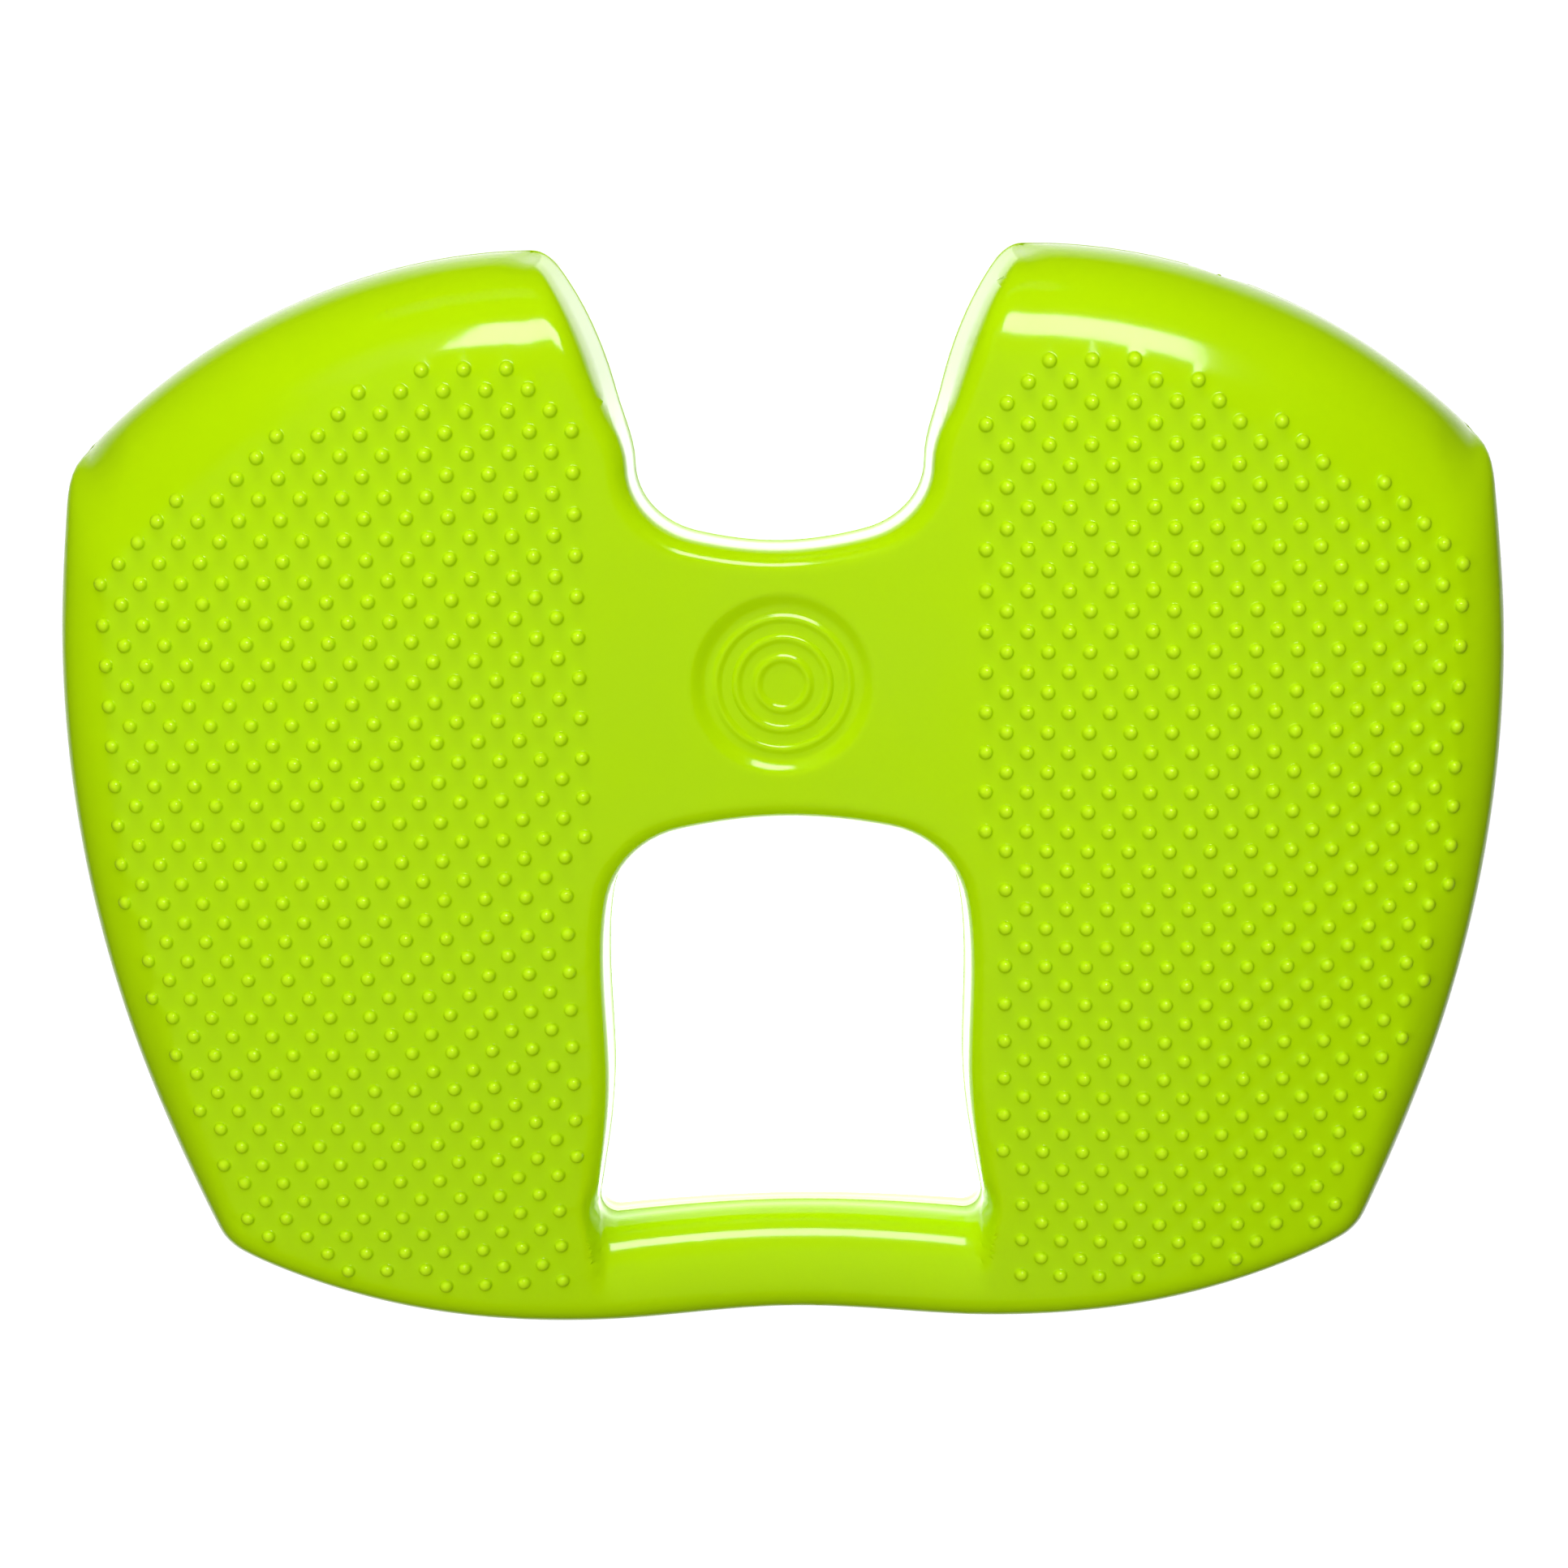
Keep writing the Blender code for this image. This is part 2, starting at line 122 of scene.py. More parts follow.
# Nubs: a square lattice turned by 45 degrees.  The field is the right lobe's, in mm.
NUB_STEP = 5.48 * MM
NUB_FIRST_X = 54.4 * MM
NUB_FIRST_Y = 121.9 * MM
NUB_COLUMNS = 24
NUB_ROWS = 48
NUB_FIELD = ((51, 108), (51, -12), (57, -12), (57, -105), (62, -105), (62, -139), (103, -138.5),
             (107, -132.5), (128, -132.5), (135, -126), (150, -121), (156, -114), (156, -108),
             (164, -86), (175, -53), (183, -16), (183, 70), (161, 90.5), (145, 97.5), (134, 108),
             (124, 109), (112, 119), (97, 120), (95.5, 125), (67, 125))
NUB_RADIUS = 1.85 * MM
NUB_HEIGHT = 1.75 * MM
NUB_PROFILE = ((0, 1), (0.3, 0.96), (0.55, 0.85), (0.75, 0.68), (0.89, 0.46), (0.97, 0.25),
               (1.03, 0.1), (1.12, 0.02), (1.25, 0))
NUB_SIDES = 16
NUB_SHEEN_SHARE = "nub_sheen_share"           # how far up a nub each vertex is, for the painted sheen that makes the nubs paler towards their tops

# Round recess in the bridge, with plain raised rings
MEDALLION_Y = 36.5 * MM
MEDALLION_RADIUS = 25.5 * MM
MEDALLION_SLOPE = 5 * MM
MEDALLION_DEPTH = 1.6 * MM
MEDALLION_SIDES = 96
MEDALLION_BORDER = 27.5 * MM
MEDALLION_CENTRE = 0.7 * MM       # radius of its innermost mesh ring
MEDALLION_LOOPS = 46
RAISED_RINGS = tuple(MM * radius for radius in (7, 12.5, 18))
RAISED_RING_HALF_WIDTH = 1.3 * MM
RAISED_RING_HEIGHT = 0.6 * MM

# Valve: radius and place along its axis (mm), which is 0 at the wall and positive outwards
CORE_MIDDLE = -10 * MM            # the core's middle, by which the valve is placed
POCKET = ((0, 5), (9.6, 5), (9.1, 0.9), (8.2, -0.2), (7.6, -1.3), (7.5, -4.2), (5.3, -4.2),
          (5.3, -9.1), (6.6, -9.1), (6.6, -13.6), (0, -13.6))
HOUSING = ((4.6, -1.9), (7.2, -1.9), (7.2, -3.9), (5, -3.9), (5, -9.3), (6.2, -9.3), (5, -13),
           (2.2, -13), (2.2, -12), (3.6, -12), (3.6, -8), (2.7, -8), (2.7, -3.3), (4.6, -3.3))
CORE = ((0, -9.5), (1.2, -8.3), (3.3, -8.3), (3.3, -11.7), (0, -11.7))
PLUG = ((0, -1.8), (4.3, -1.8), (4.3, -3), (2.1, -3), (2.1, -5.3), (2.4, -5.8), (2.4, -6.4),
        (1.3, -7.5), (0, -7.5))
# Slit and pull rib: size across, upwards and along the axis
SLIT = (2.4 * MM, 0.3 * MM, 6 * MM)
SLIT_MIDDLE = -11.7 * MM
PULL_RIB = (1.1 * MM, 7 * MM, 2.4 * MM)
PULL_RIB_MIDDLE = -1.2 * MM
PULL_RIB_ROUND = 0.4 * MM
VALVE_ROUND = 0.3 * MM            # how far from a corner the valve's edges are rounded off
VALVE_ROUND_SHARE = 0.4           # and the most of a short edge that this may take
VALVE_SIDES = 72
SHARP_ANGLE = math.radians(38)

# Colours, linear: the moulding's two tones and the paler tone of the painted sheen on its nubs'
# tops, then the valve's pieces
PAD_TONES = ((0.475, 0.77, 0), (0.445, 0.73, 0), (0.57, 0.88, 0.01))
BUSH_TONES = ((0.42, 0.68, 0), (0.39, 0.65, 0), (0.42, 0.68, 0))
PLUG_TONES = ((0.45, 0.73, 0), (0.42, 0.69, 0), (0.45, 0.73, 0))
RUBBER_TONES = ((0.50, 0.51, 0.45), (0.60, 0.61, 0.55))
PAD_ROUGHNESS, BUSH_ROUGHNESS, PLUG_ROUGHNESS = 0.11, 0.24, 0.2

# Studio: the floor, and how bright the world is upwards and downwards.  It starts to get
# brighter at the first of two directions, given by their Z, and is at its brightest at the second.
ROOM_SIZE = (8, 8, 4)
FLOOR_GAP = 0.2 * MM
GLOW_PLACE = -0.1 * MM            # the glows lie just above the floor, in the pad's openings
ROOM_ABOVE, ROOM_BELOW = 0.02, 1.3
BELOW_FROM, BELOW_FULL = -0.5, -0.8
# Lights: name, place, target, size, power, and whether the gloss mirrors it
LIGHTS = (("softbox", (0.14, 0.66, 0.86), (0, 0.05, 0.03), (0.48, 0.3), 4.1, True),
          ("rear", (-0.4, 0.85, 1.25), (0, 0, 0.03), (0.6, 0.4), 2.8, False),
          ("low_rear", (-0.2, 1.4, 0.42), (0, 0, 0.03), (0.6, 0.25), 7.3, False),
          ("overhead", (-0.3, -0.4, 1.5), (0, 0, 0), (1.8, 1.8), 19.2, False),
          ("opening_glow", (0, -0.065, GLOW_PLACE), (0, -0.065, 1), (0.12, 0.13), 0.07, True),
          ("notch_glow", (0, 0.125, GLOW_PLACE), (0, 0.125, 1), (0.12, 0.13), 0.035, True))
CAMERA_PLACE = (3.8 * MM, 133.3 * MM, 751.5 * MM)
CAMERA_TURN = (-10, 0.31, -0.82)
CAMERA_LENS = 60.4


# --- plan ---------------------------------------------------------------------------

def heading_vector(degrees):
    return Vector((math.cos(math.radians(degrees)), math.sin(math.radians(degrees))))


def smooth_stretch(anchors):
    """Points along smooth curves through the anchors, the last anchor left out."""
    points = []
    for (x0, y0, heading0), (x1, y1, heading1) in zip(anchors, anchors[1:]):
        start = Vector((x0, y0)) * MM
        end = Vector((x1, y1)) * MM
        turn = abs(math.radians(heading1 - heading0))
        chord = (end - start).length
        handle = chord / (3 * math.cos(turn / 4) ** 2)
        leave = start + handle * heading_vector(heading0)
        arrive = end - handle * heading_vector(heading1)
        steps = max(1, round(turn / TURN_STEP), round(chord / LENGTH_STEP))
        points += interpolate_bezier(start, leave, arrive, end, steps + 1)[:-1]
    return points


def mirrored_loop(half):
    right = np.array([tuple(point) for point in half])
    left = right[1:-1][::-1] * (-1, 1)
    return np.concatenate([right, left])


def inset_loop(loop, distance):
    """The loop moved inwards by one distance, or by one for each vertex."""
    before = loop - np.roll(loop, 1, axis=0)
    after = np.roll(loop, -1, axis=0) - loop
    before /= np.linalg.norm(before, axis=1)[:, None]
    after /= np.linalg.norm(after, axis=1)[:, None]
    bisector = np.stack([-(before + after)[:, 1], (before + after)[:, 0]], axis=1)
    length_squared = (bisector ** 2).sum(axis=1)
    return loop + np.reshape(distance, (-1, 1)) * 2 * bisector / length_squared[:, None]


def distance_to(points, line):
    """Distance from each point to a line of joined points, a block of points at a time."""
    start, step = line[:-1], np.diff(line, axis=0)
    step_squared = (step ** 2).sum(axis=1)
    found = np.empty(len(points))
    for first in range(0, len(points), POINTS_AT_ONCE):
        block = points[first:first + POINTS_AT_ONCE]
        offset = block[:, None, :] - start[None, :, :]
        along = (offset * step).sum(axis=2) / step_squared
        nearest = offset - np.clip(along, 0, 1)[:, :, None] * step
        found[first:first + POINTS_AT_ONCE] = np.linalg.norm(nearest, axis=2).min(axis=1)
    return found


def inside(points, loop):
    """Whether each point is inside the closed loop, by counting edges crossed."""
    x, y = points[:, 0][:, None], points[:, 1][:, None]
    x0, y0 = loop[:, 0], loop[:, 1]
    x1, y1 = np.roll(x0, -1), np.roll(y0, -1)
    spans = (y0 > y) != (y1 > y)
    rise = np.where(y1 == y0, 1, y1 - y0)
    crossing = x0 + (y - y0) * (x1 - x0) / rise
    return (spans & (x < crossing)).sum(axis=1) % 2 == 1


class Plan:
    """The outline and hand opening, and the lines that each kind of edge follows."""

    def __init__(self):
        front = smooth_stretch(FRONT_AND_SIDE)
        rear = smooth_stretch(REAR_ARC)
        notch = smooth_stretch(REAR_NOTCH)
        end = Vector(REAR_NOTCH[-1][:2]) * MM
        outline = mirrored_loop(front + rear + notch + [end])
        opening = mirrored_loop(smooth_stretch(HAND_OPENING) + [Vector(HAND_OPENING[-1][:2]) * MM])
        first, last = len(front), len(front) + len(rear)
        self.loops = (outline, opening)
        self.rear_right = outline[first:last + 1]
        self.rear_left = self.rear_right * (-1, 1)
        self.front_and_sides = np.concatenate([outline[len(outline) - first:], outline[:first + 1]])
        self.notch = outline[last:len(outline) - last + 1]
        self.opening = np.concatenate([opening, opening[:1]])


PLAN = Plan()


# --- heights ------------------------------------------------------------------------

def smooth_step(value):
    value = np.clip(value, 0, 1)
    return value * value * (3 - 2 * value)


def crest_height(points):
    """The top's height away from every edge."""
    x, y = points[:, 0], points[:, 1]
    along = CREST_HEIGHT + WEDGE_SLOPE * y - LENGTHWISE_DROP * (y / HALF_DEPTH) ** 2
    span = np.clip(np.abs(x) / LOBE_CREST_X, 0, 1)
    bridge = BRIDGE_DROP * (0.5 + 0.5 * np.cos(math.pi * span))
    beyond = np.clip(np.abs(x) - LOBE_CREST_X, 0, None)
    side = SIDE_DROP * (beyond / (SIDE_X - LOBE_CREST_X)) ** 2
    return along - bridge - side


def wall_fullness(distance, height, lean, fillet, stretch=1):
    """Share of the height reached by a leaning wall that ends in a fillet, stretched inwards."""
    reach = fillet * stretch
    centre = (height - fillet) * np.tan(lean) + reach / np.cos(lean)
    meets = centre - reach * np.cos(lean)
    on_wall = distance / np.tan(lean)
    across = np.clip((centre - distance) / reach, 0, 1)
    on_fillet = height - fillet + fillet * np.sqrt(1 - across ** 2)
    return np.where(distance < meets, on_wall, on_fillet) / height


def rear_fullness(distance):
    left = 1 - np.clip(distance / REAR_REACH, 0, 1)
    return (1 - left ** REAR_POWER) ** (1 / REAR_POWER)


def bar_share(points):
    """1 on the grip bar, 0 away from it."""
    share = smooth_step((BAR_FROM_Y - points[:, 1]) / BAR_BLEND)
    return share * smooth_step((BAR_HALF_LENGTH - np.abs(points[:, 0])) / BAR_END_BLEND + 0.5)


def blended(start, end, share):
    return start + (end - start) * share


def top_height(points):
    crest = crest_height(points)
    parting = PARTING_SHARE * crest
    rise = crest - parting
    bar = bar_share(points)
    mouth = smooth_step((points[:, 1] - NOTCH_MOUTH_Y) / NOTCH_MOUTH_BLEND)
    opening_fillet = blended(OPENING_FILLET, BAR_FILLET, bar)
    stretch = blended(1, BAR_STRETCH, bar)
    opening = distance_to(points, PLAN.opening)
    notch_lean = blended(NOTCH_LEAN, NOTCH_MOUTH_LEAN, mouth)
    side = smooth_step((np.abs(points[:, 0]) - SIDE_FROM_X) / SIDE_BLEND)
    full = wall_fullness(distance_to(points, PLAN.front_and_sides), rise, FRONT_LEAN,
                         blended(FRONT_FILLET, SIDE_FILLET, side), blended(1, SIDE_STRETCH, side))
    full *= wall_fullness(distance_to(points, PLAN.notch), rise, notch_lean, NOTCH_FILLET)
    full *= wall_fullness(opening, rise, OPENING_LEAN, opening_fillet, stretch)
    full *= rear_fullness(distance_to(points, PLAN.rear_right))
    full *= rear_fullness(distance_to(points, PLAN.rear_left))
    return parting + rise * full


def base_height(points):
    parting = PARTING_SHARE * crest_height(points)
    lines = (PLAN.front_and_sides, PLAN.notch, PLAN.opening, PLAN.rear_right, PLAN.rear_left)
    distance = np.min([distance_to(points, line) for line in lines], axis=0)
    fillet = blended(BASE_FILLET, BAR_BASE_FILLET, bar_share(points))
    return parting * (1 - wall_fullness(distance, parting, BASE_LEAN, fillet))


def nub_height(radius):
    shares = np.array(NUB_PROFILE)
    return NUB_HEIGHT * np.interp(radius / NUB_RADIUS, shares[:, 0], shares[:, 1])


def medallion_height(radius):
    """The round recess, and the low rings that stand in it."""
    recess = -MEDALLION_DEPTH * smooth_step((MEDALLION_RADIUS - radius) / MEDALLION_SLOPE)
    for ring in RAISED_RINGS:
        bump = np.clip(1 - ((radius - ring) / RAISED_RING_HALF_WIDTH) ** 2, 0, 1)
        recess = recess + RAISED_RING_HEIGHT * smooth_step(bump)
    return recess


# --- the moulding's mesh --------------------------------------------------------------

class Surface:
    """Vertices and faces of one mesh; plan points that coincide share a vertex."""

    def __init__(self):
        self.vertices = []
        self.faces = []
        self.nub_sheen_shares = {}

    def add(self, plan_points, heights):
        first = len(self.vertices)
        self.vertices += [(x, y, z) for (x, y), z in zip(plan_points, heights)]
        return list(range(first, len(self.vertices)))

    def strip(self, outer, inner, upward):
        count = len(outer)
        for index in range(count):
            after = (index + 1) % count
            face = (outer[index], outer[after], inner[after], inner[index])
            self.faces.append(face if upward else face[::-1])


def nub_centres(cells):
    return np.array([(NUB_FIRST_X + column * NUB_STEP, NUB_FIRST_Y - row * NUB_STEP)
                     for column, row in cells])


def nub_lattice():
    """Column and row of every nub of the right lobe."""
    field = np.array(NUB_FIELD) * MM
    cells = [(column, row) for row in range(NUB_ROWS) for column in range(NUB_COLUMNS)
             if (column + row) % 2 == 1]
    kept = inside(nub_centres(cells), field)
    return {cell for cell, keep in zip(cells, kept) if keep}


def corner_key(point):
    """The same whole numbers for every diamond's point at one place."""
    return round(point[0] / NUB_STEP * 8), round(point[1] / NUB_STEP * 8)


def add_nubs(surface, cells, side):
    """Adds a lobe's nubs, each in its own diamond, and returns the field's border edges."""
    corners = np.array([(1, 0), (0, -1), (-1, 0), (0, 1), (1, 0)]) * NUB_STEP
    per_side = NUB_SIDES // 4
    diamond = np.concatenate([[a + (b - a) * step / per_side for step in range(per_side)]
                              for a, b in zip(corners, corners[1:])])
    turns = -np.arange(NUB_SIDES) * 2 * math.pi / NUB_SIDES
    unit = np.stack([np.cos(turns), np.sin(turns)], axis=1)
    shared = {}
    centres = nub_centres(sorted(cells))
    border_points = []
    for centre in centres:
        for point in diamond + centre:
            key = corner_key(point)
            if key not in shared:
                shared[key] = len(border_points)
                border_points.append(point)
    mirror = np.array((side, 1))
    border_points = np.array(border_points) * mirror
    border = surface.add(border_points, top_height(border_points))
    radii = [share * NUB_RADIUS for share, _ in NUB_PROFILE[1:]]
    ring_points = np.concatenate([centre + unit * radius
                                  for centre in centres for radius in radii])
    ring_points = ring_points * mirror
    ring_heights = top_height(ring_points)
    ring_heights += np.tile(np.repeat(nub_height(np.array(radii)), NUB_SIDES), len(centres))
    rings = surface.add(ring_points, ring_heights)
    shares = np.repeat([share for _, share in NUB_PROFILE[1:]], NUB_SIDES)
    surface.nub_sheen_shares.update(zip(rings, np.tile(shares, len(centres))))
    tops = centres * mirror
    peaks = surface.add(tops, top_height(tops) + NUB_HEIGHT)
    surface.nub_sheen_shares.update(dict.fromkeys(peaks, 1))
    edge_uses = {}
    upward = side < 0
    for number, centre in enumerate(centres):
        first = number * len(radii) * NUB_SIDES
        loops = [rings[first + i * NUB_SIDES:first + (i + 1) * NUB_SIDES]
                 for i in range(len(radii))]
        outer = [border[shared[corner_key(point)]] for point in diamond + centre]
        for index in range(NUB_SIDES):
            after = (index + 1) % NUB_SIDES
            edge = tuple(sorted((outer[index], outer[after])))
            edge_uses[edge] = edge_uses.get(edge, 0) + 1
            fan = (peaks[number], loops[0][index], loops[0][after])
            surface.faces.append(fan if upward else fan[::-1])
        for inner, wider in zip(loops, loops[1:] + [outer]):
            surface.strip(wider, inner, upward)
    return [edge for edge, uses in edge_uses.items() if uses == 1]


def add_medallion(surface):
    """Adds the round recess and returns its border edges."""
    turns = np.arange(MEDALLION_SIDES) * 2 * math.pi / MEDALLION_SIDES
    unit = np.stack([np.cos(turns), np.sin(turns)], axis=1)
    loops = []
    for radius in np.linspace(MEDALLION_BORDER, MEDALLION_CENTRE, MEDALLION_LOOPS):
        points = unit * radius + (0, MEDALLION_Y)
        heights = top_height(points) + medallion_height(np.full(len(points), radius))
        loops.append(surface.add(points, heights))
    for outer, inner in zip(loops, loops[1:]):
        surface.strip(outer, inner, True)
    surface.faces.append(tuple(loops[-1]))
    border = loops[0]
    return [(border[i], border[(i + 1) % len(border)]) for i in range(len(border))]


def nub_cell_of(points):
    """Column and row of the diamond that each point lies in, as a lobe of either side."""
    u = (np.abs(points[:, 0]) - NUB_FIRST_X) / NUB_STEP
    v = (NUB_FIRST_Y - points[:, 1]) / NUB_STEP
    a = np.round((u + v - 1) / 2)
    b = np.round((u - v - 1) / 2)
    return np.stack([a + b + 1, a - b], axis=1).astype(int)


def apart_from(points, others, distance):
    """Whether each point is farther than the distance from all the other points."""
    tree = KDTree(len(others))
    for number, (x, y) in enumerate(others):
        tree.insert((x, y, 0), number)
    tree.balance()
    return np.array([tree.find((x, y, 0))[2] > distance for x, y in points])


def fill(surface, loops, border_edges, spacing, blocked, height, upward):
    """Fills what lies between the rings and the borders with small triangles."""
    border_ids = sorted({index for edge in border_edges for index in edge})
    place = {index: number for number, index in enumerate(border_ids)}
    border_points = np.array([surface.vertices[index][:2] for index in border_ids])
    edges = [(place[a], place[b]) for a, b in border_edges]

    def open_part(points):
        return points[inside(points, loops[0]) & ~inside(points, loops[1]) & ~blocked(points)]

    loose = np.concatenate([inset_loop(loop, inset)
                            for inset in LOOSE_INSETS for loop in PLAN.loops])
    loose = open_part(loose)
    loose = loose[apart_from(loose, border_points, LOOSE_GAP)]
    rows = np.arange(-HALF_DEPTH, HALF_DEPTH, spacing * math.sqrt(3) / 2)
    columns = np.arange(-GRID_HALF_WIDTH, GRID_HALF_WIDTH, spacing)
    grid = np.array([(x + (index % 2) * spacing / 2, y)
                     for index, y in enumerate(rows) for x in columns])
    grid = open_part(grid)
    grid = grid[apart_from(grid, np.concatenate([border_points, loose]), GRID_GAP * spacing)]
    free = np.concatenate([loose, grid])
    ids = border_ids + surface.add(free, height(free))
    flat = np.concatenate([border_points, free])
    made = delaunay_2d_cdt([Vector(point) for point in flat], edges, [], 0, 1e-9)
    if len(made[0]) != len(flat):
        raise ValueError(f"{len(made[0]) - len(flat)} borders cross")
    triangles = made[2]
    middles = np.array([flat[list(triangle)].mean(axis=0) for triangle in triangles])
    kept = inside(middles, loops[0]) & ~inside(middles, loops[1]) & ~blocked(middles)
    for triangle, keep in zip(triangles, kept):
        if keep:
            face = tuple(ids[index] for index in triangle)
            surface.faces.append(face if upward else face[::-1])


def ring_insets(loop, height):
    """Every ring's inset at each of the loop's points, closer together where the wall bends."""
    depths = np.concatenate([[0], np.geomspace(FIRST_DEPTH, LAST_RING, DEPTH_COUNT)])
    heights = np.array([height(inset_loop(loop, depth)) for depth in depths])
    step = np.diff(depths)[:, None]
    rise = np.diff(heights, axis=0)
    slope = np.arctan2(rise, step)
    bend = np.abs(np.diff(slope, axis=0, prepend=slope[:1]))
    measure = np.cumsum(np.hypot(rise, step) / RING_LENGTH + bend / RING_BEND, axis=0)
    measure = np.vstack([np.zeros(len(loop)), measure])
    shares = np.arange(1, RING_COUNT + 1) / RING_COUNT
    return np.array([np.interp(shares * column[-1], column, depths) for column in measure.T]).T


def add_rings(surface, rim, height, direction, upward):
    """Adds the rings that climb the walls, and returns the last ones' loops and edges."""
    edge_rings = []
    for loop, line in zip(PLAN.loops, rim):
        heights = PARTING_SHARE * crest_height(loop) + direction * FLASH_HALF_HEIGHT
        edge_rings.append(surface.add(loop, heights))
        surface.strip(line, edge_rings[-1], upward)
    insets = [ring_insets(loop, height) for loop in PLAN.loops]
    for number in range(RING_COUNT):
        rings = []
        for loop, inset, outer in zip(PLAN.loops, insets, edge_rings):
            points = inset_loop(loop, inset[number])
            rings.append(surface.add(points, height(points)))
            surface.strip(outer, rings[-1], upward)
        edge_rings = rings
    loops = [inset_loop(loop, LAST_RING) for loop in PLAN.loops]
    edges = [(ring[i], ring[(i + 1) % len(ring)]) for ring in edge_rings for i in range(len(ring))]
    return loops, edges


def pad_mesh():
    surface = Surface()
    rim = []
    for loop in PLAN.loops:
        points = inset_loop(loop, -FLASH)
        rim.append(surface.add(points, PARTING_SHARE * crest_height(points)))
    loops, top_edges = add_rings(surface, rim, top_height, 1, True)
    cells = nub_lattice()
    for side in (1, -1):
        top_edges += add_nubs(surface, cells, side)
    top_edges += add_medallion(surface)

    def under_details(points):
        nubbed = np.array([tuple(cell) in cells for cell in nub_cell_of(points)])
        round_recess = np.hypot(points[:, 0], points[:, 1] - MEDALLION_Y) < MEDALLION_BORDER
        return nubbed | round_recess

    def nothing(points):
        return np.zeros(len(points), dtype=bool)

    fill(surface, loops, top_edges, TOP_SPACING, under_details, top_height, True)
    loops, base_edges = add_rings(surface, rim, base_height, -1, False)
    fill(surface, loops, base_edges, BASE_SPACING, nothing, base_height, False)
    mesh = bpy.data.meshes.new("pad")
    mesh.from_pydata(surface.vertices, [], surface.faces)
    # How far up a nub each vertex is, which the material uses to paint a sheen on the nubs' tops
    share = mesh.attributes.new(NUB_SHEEN_SHARE, "FLOAT", "POINT")
    shares = [surface.nub_sheen_shares.get(index, 0) for index in range(len(surface.vertices))]
    share.data.foreach_set("value", shares)
    mesh.validate()
    return mesh


# --- valve ------------------------------------------------------------------------------

def valve_place(frame):
    """The valve's place: its Z runs out of the wall, along the plug's slide, and its Y is up."""
    out = Vector(frame["joints"][0]["axis"]).normalized()
    up = Vector((0, 0, 1))
    low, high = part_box("valve_core")
    place = Matrix((up.cross(out), up, out)).transposed().to_4x4()
    place.translation = (low + high) / 2 - CORE_MIDDLE * out
    return place


def rounded(profile, closed):
    """Radius and place pairs in metres, with every corner rounded off but an open line's ends."""
    corners = [Vector(pair) * MM for pair in profile]
    made = []
    for index, corner in enumerate(corners):
        if not closed and index in (0, len(corners) - 1):
            made.append(corner)
            continue
        back = corners[index - 1] - corner
        ahead = corners[(index + 1) % len(corners)] - corner
        reach = min(VALVE_ROUND, VALVE_ROUND_SHARE * min(back.length, ahead.length))
        start = corner + reach * back.normalized()
        end = corner + reach * ahead.normalized()
        made += [start, (start + 2 * corner + end) / 4, end]
    return made


def as_mesh(shape, name):
    mesh = bpy.data.meshes.new(name)
    shape.to_mesh(mesh)
    shape.free()
    return mesh


def turned(name, profile, closed=False):
    """A round body from radius and place pairs that run down its outer side."""
    shape = bmesh.new()
    corners = [shape.verts.new((radius, 0, place)) for radius, place in rounded(profile, closed)]
    pairs = list(zip(corners, corners[1:]))
    if closed:
        pairs.append((corners[-1], corners[0]))
    edges = [shape.edges.new(pair) for pair in pairs]
    bmesh.ops.spin(shape, geom=corners + edges, axis=(0, 0, 1), cent=(0, 0, 0), angle=2 * math.pi,
                   steps=VALVE_SIDES, use_merge=True)
    bmesh.ops.remove_doubles(shape, verts=shape.verts, dist=0.001 * MM)
    bmesh.ops.recalc_face_normals(shape, faces=shape.faces)
    return as_mesh(shape, name)


def block(name, size, middle, round_off):
    shape = bmesh.new()
    bmesh.ops.create_cube(shape, size=1, matrix=Matrix.LocRotScale((0, 0, middle), None, size))
    if round_off:
        bmesh.ops.bevel(shape, geom=shape.edges, offset=round_off, segments=4, affect="EDGES",
                        profile=0.5)
    return as_mesh(shape, name)


def placed(mesh, place):
    made = bpy.data.objects.new(mesh.name, mesh)
    made.matrix_world = place
    bpy.context.collection.objects.link(made)
    return made


def combine(target, tool, operation):
    """Joins the tool to the target or cuts it out, and removes the tool."""
    step = target.modifiers.new("combine", "BOOLEAN")
    step.operation = operation
    step.solver = "EXACT"
    step.object = tool
    changed = target.evaluated_get(bpy.context.evaluated_depsgraph_get())
    mesh = bpy.data.meshes.new_from_object(changed)
    target.modifiers.remove(step)
    target.data = mesh
    bpy.data.objects.remove(tool)


def finish_piece(piece, look, body, node):
    piece.data.materials.clear()
    piece.data.materials.append(look)
    piece.data.shade_smooth()
    piece.data.set_sharp_from_angle(angle=SHARP_ANGLE)
    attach(piece, body)
    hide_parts(node)


def make_valve(place):
    housing = placed(turned("housing", HOUSING, closed=True), place)
    look = lime_material("lime_bush", BUSH_TONES, BUSH_ROUGHNESS)
    finish_piece(housing, look, "pad", "valve_housing")
    core = placed(turned("core", CORE), place)
    combine(core, placed(block("slit", SLIT, SLIT_MIDDLE, 0), place), "DIFFERENCE")
    finish_piece(core, rubber_material(), "pad", "valve_core")
    plug = placed(turned("plug", PLUG), place)
    rib = placed(block("pull_rib", PULL_RIB, PULL_RIB_MIDDLE, PULL_RIB_ROUND), place)
    combine(plug, rib, "UNION")
    look = lime_material("lime_plug", PLUG_TONES, PLUG_ROUGHNESS)
    finish_piece(plug, look, "plug", "valve_plug")


# --- materials ------------------------------------------------------------------------

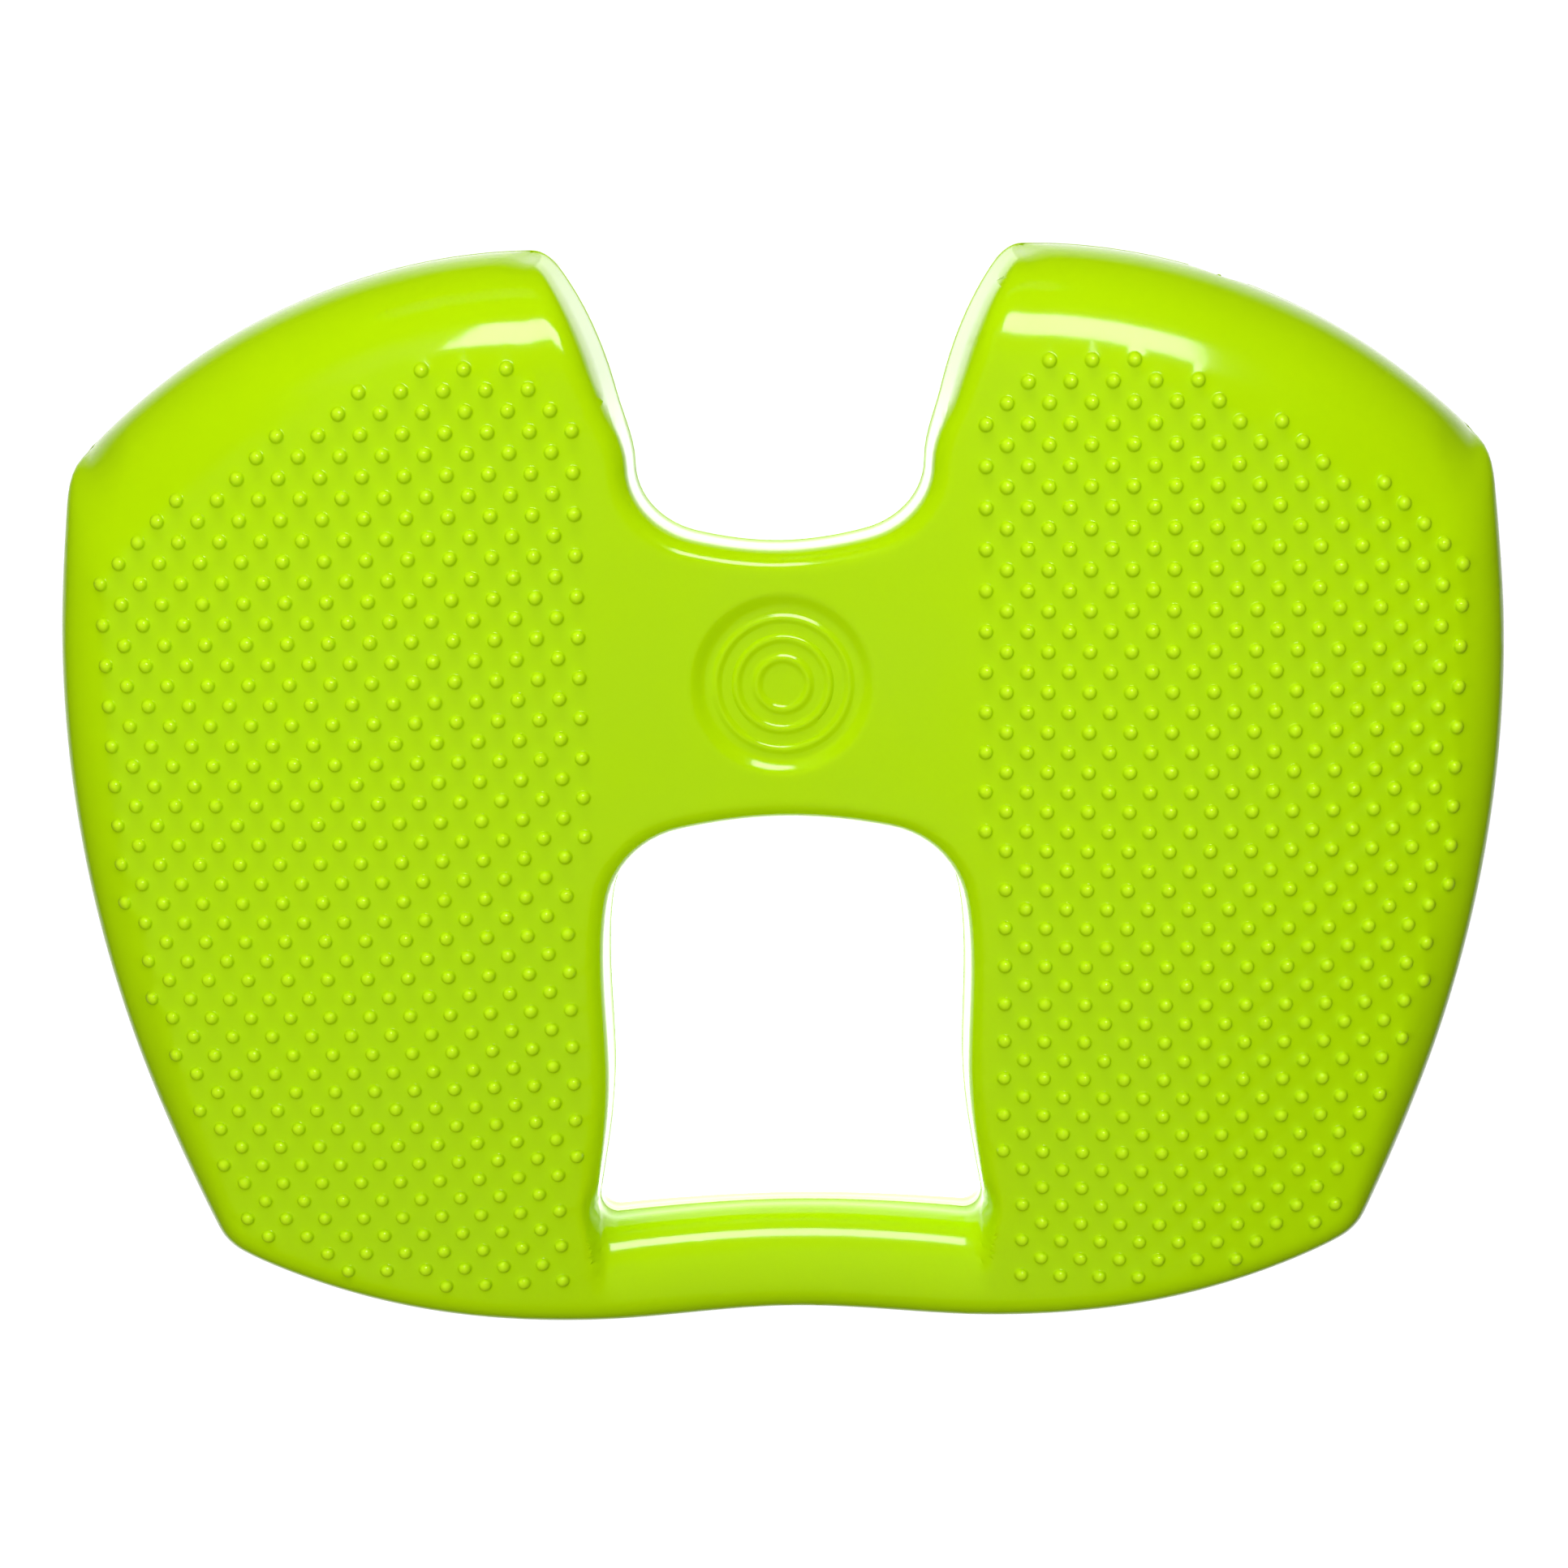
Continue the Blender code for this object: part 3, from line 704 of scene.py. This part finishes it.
def lime_material(name, tones, roughness):
    """Soft, glossy, slightly see-through PVC with a faint ripple, and a painted sheen that makes it
    paler towards the nubs' tops.
    """
    colour, second_colour, painted_sheen_colour = tones
    made = bpy.data.materials.new(name)
    made.use_nodes = True
    nodes, links = made.node_tree.nodes, made.node_tree.links
    shader = nodes["Principled BSDF"]
    shader.inputs["IOR"].default_value = 1.53
    shader.inputs["Subsurface Weight"].default_value = 0.2
    shader.inputs["Subsurface Radius"].default_value = (1, 1, 0.15)
    shader.inputs["Subsurface Scale"].default_value = 2.5 * MM
    place = nodes.new("ShaderNodeTexCoord")
    cloud = nodes.new("ShaderNodeTexNoise")
    cloud.inputs["Scale"].default_value = 28
    cloud.inputs["Detail"].default_value = 3
    links.new(place.outputs["Object"], cloud.inputs["Vector"])
    blend = nodes.new("ShaderNodeMix")
    blend.data_type = "RGBA"
    blend.inputs["A"].default_value = (*colour, 1)
    blend.inputs["B"].default_value = (*second_colour, 1)
    links.new(cloud.outputs["Fac"], blend.inputs["Factor"])
    nub = nodes.new("ShaderNodeAttribute")
    nub.attribute_name = NUB_SHEEN_SHARE
    # Painted sheen: the paler nub tone is mixed in towards the nubs' tops, standing in for the
    # light they catch
    painted_nub_sheen = nodes.new("ShaderNodeMix")
    painted_nub_sheen.data_type = "RGBA"
    painted_nub_sheen.inputs["B"].default_value = (*painted_sheen_colour, 1)
    links.new(nub.outputs["Fac"], painted_nub_sheen.inputs["Factor"])
    links.new(blend.outputs["Result"], painted_nub_sheen.inputs["A"])
    links.new(painted_nub_sheen.outputs["Result"], shader.inputs["Base Color"])
    gloss = nodes.new("ShaderNodeMapRange")
    gloss.inputs["To Min"].default_value = roughness - 0.03
    gloss.inputs["To Max"].default_value = roughness + 0.05
    links.new(cloud.outputs["Fac"], gloss.inputs["Value"])
    links.new(gloss.outputs["Result"], shader.inputs["Roughness"])
    ripple = nodes.new("ShaderNodeTexNoise")
    ripple.inputs["Scale"].default_value = 240
    ripple.inputs["Detail"].default_value = 2
    links.new(place.outputs["Object"], ripple.inputs["Vector"])
    bump = nodes.new("ShaderNodeBump")
    bump.inputs["Strength"].default_value = 0.25
    bump.inputs["Distance"].default_value = 0.06 * MM
    links.new(ripple.outputs["Fac"], bump.inputs["Height"])
    links.new(bump.outputs["Normal"], shader.inputs["Normal"])
    return made


def rubber_material():
    """Pale, dull rubber with a fine grain."""
    made = bpy.data.materials.new("pale_rubber")
    made.use_nodes = True
    nodes, links = made.node_tree.nodes, made.node_tree.links
    shader = nodes["Principled BSDF"]
    shader.inputs["Roughness"].default_value = 0.6
    place = nodes.new("ShaderNodeTexCoord")
    grain = nodes.new("ShaderNodeTexNoise")
    grain.inputs["Scale"].default_value = 1500
    grain.inputs["Detail"].default_value = 4
    links.new(place.outputs["Object"], grain.inputs["Vector"])
    blend = nodes.new("ShaderNodeMix")
    blend.data_type = "RGBA"
    blend.inputs["A"].default_value = (*RUBBER_TONES[0], 1)
    blend.inputs["B"].default_value = (*RUBBER_TONES[1], 1)
    links.new(grain.outputs["Fac"], blend.inputs["Factor"])
    links.new(blend.outputs["Result"], shader.inputs["Base Color"])
    bump = nodes.new("ShaderNodeBump")
    bump.inputs["Strength"].default_value = 0.3
    bump.inputs["Distance"].default_value = 0.03 * MM
    links.new(grain.outputs["Fac"], bump.inputs["Height"])
    links.new(bump.outputs["Normal"], shader.inputs["Normal"])
    return made


# --- studio -----------------------------------------------------------------------------

def make_floor():
    """A plain white floor with a white wall round it, which the pad's gloss doesn't mirror."""
    shape = bmesh.new()
    bmesh.ops.create_cube(shape, size=1, matrix=Matrix.Diagonal((*ROOM_SIZE, 1)))
    lid = [face for face in shape.faces if face.normal.z > 0.5]
    bmesh.ops.delete(shape, geom=lid, context="FACES_ONLY")
    mesh = as_mesh(shape, "floor")
    floor = placed(mesh, Matrix.Translation((0, 0, ROOM_SIZE[2] / 2 - FLOOR_GAP)))
    floor.visible_diffuse = False
    floor.visible_glossy = False
    white = bpy.data.materials.new("floor_white")
    white.use_nodes = True
    shader = white.node_tree.nodes["Principled BSDF"]
    shader.inputs["Base Color"].default_value = (0.1, 0.1, 0.1, 1)
    shader.inputs["Roughness"].default_value = 0.9
    shader.inputs["Emission Color"].default_value = (1, 1, 1, 1)
    shader.inputs["Emission Strength"].default_value = 1.0
    mesh.materials.append(white)


def area_light(name, location, target, size, power, glossy):
    data = bpy.data.lights.new(name, "AREA")
    data.shape = "RECTANGLE"
    data.size, data.size_y = size
    data.energy = power
    light = bpy.data.objects.new(name, data)
    light.location = location
    light.visible_glossy = glossy
    light.visible_camera = False
    aim = Vector(target) - Vector(location)
    light.rotation_euler = aim.to_track_quat("-Z", "Y").to_euler()
    bpy.context.collection.objects.link(light)


def make_world():
    """A dim room, but bright straight below, which the steepest walls mirror at their rims."""
    world = bpy.data.worlds.new("dim_room")
    bpy.context.scene.world = world
    world.use_nodes = True
    nodes, links = world.node_tree.nodes, world.node_tree.links
    direction = nodes.new("ShaderNodeTexCoord")
    split = nodes.new("ShaderNodeSeparateXYZ")
    links.new(direction.outputs["Generated"], split.inputs["Vector"])
    level = nodes.new("ShaderNodeMapRange")
    level.inputs["From Min"].default_value = BELOW_FULL
    level.inputs["From Max"].default_value = BELOW_FROM
    level.inputs["To Min"].default_value = ROOM_BELOW
    level.inputs["To Max"].default_value = ROOM_ABOVE
    links.new(split.outputs["Z"], level.inputs["Value"])
    links.new(level.outputs["Result"], nodes["Background"].inputs["Strength"])
    nodes["Background"].inputs["Color"].default_value = (1, 1, 1, 1)


def make_light():
    make_world()
    for light in LIGHTS:
        area_light(*light)
    bpy.context.scene.view_settings.view_transform = "Standard"


def make_camera():
    """Above the pad and a little to its rear, tilted towards its middle."""
    data = bpy.data.cameras.new("camera")
    data.sensor_width = 36
    data.lens = CAMERA_LENS
    camera = bpy.data.objects.new("camera", data)
    bpy.context.collection.objects.link(camera)
    camera.rotation_mode = "ZYX"
    camera.rotation_euler = [math.radians(turn) for turn in CAMERA_TURN]
    camera.location = CAMERA_PLACE
    bpy.context.scene.camera = camera


def main():
    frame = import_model()
    lime = lime_material("lime_pvc", PAD_TONES, PAD_ROUGHNESS)
    place = valve_place(frame)
    pad = placed(pad_mesh(), Matrix.Identity(4))
    combine(pad, placed(turned("pocket", POCKET), place), "DIFFERENCE")
    finish_piece(pad, lime, "pad", "pad_skin")
    make_valve(place)
    make_floor()
    make_light()
    make_camera()


main()
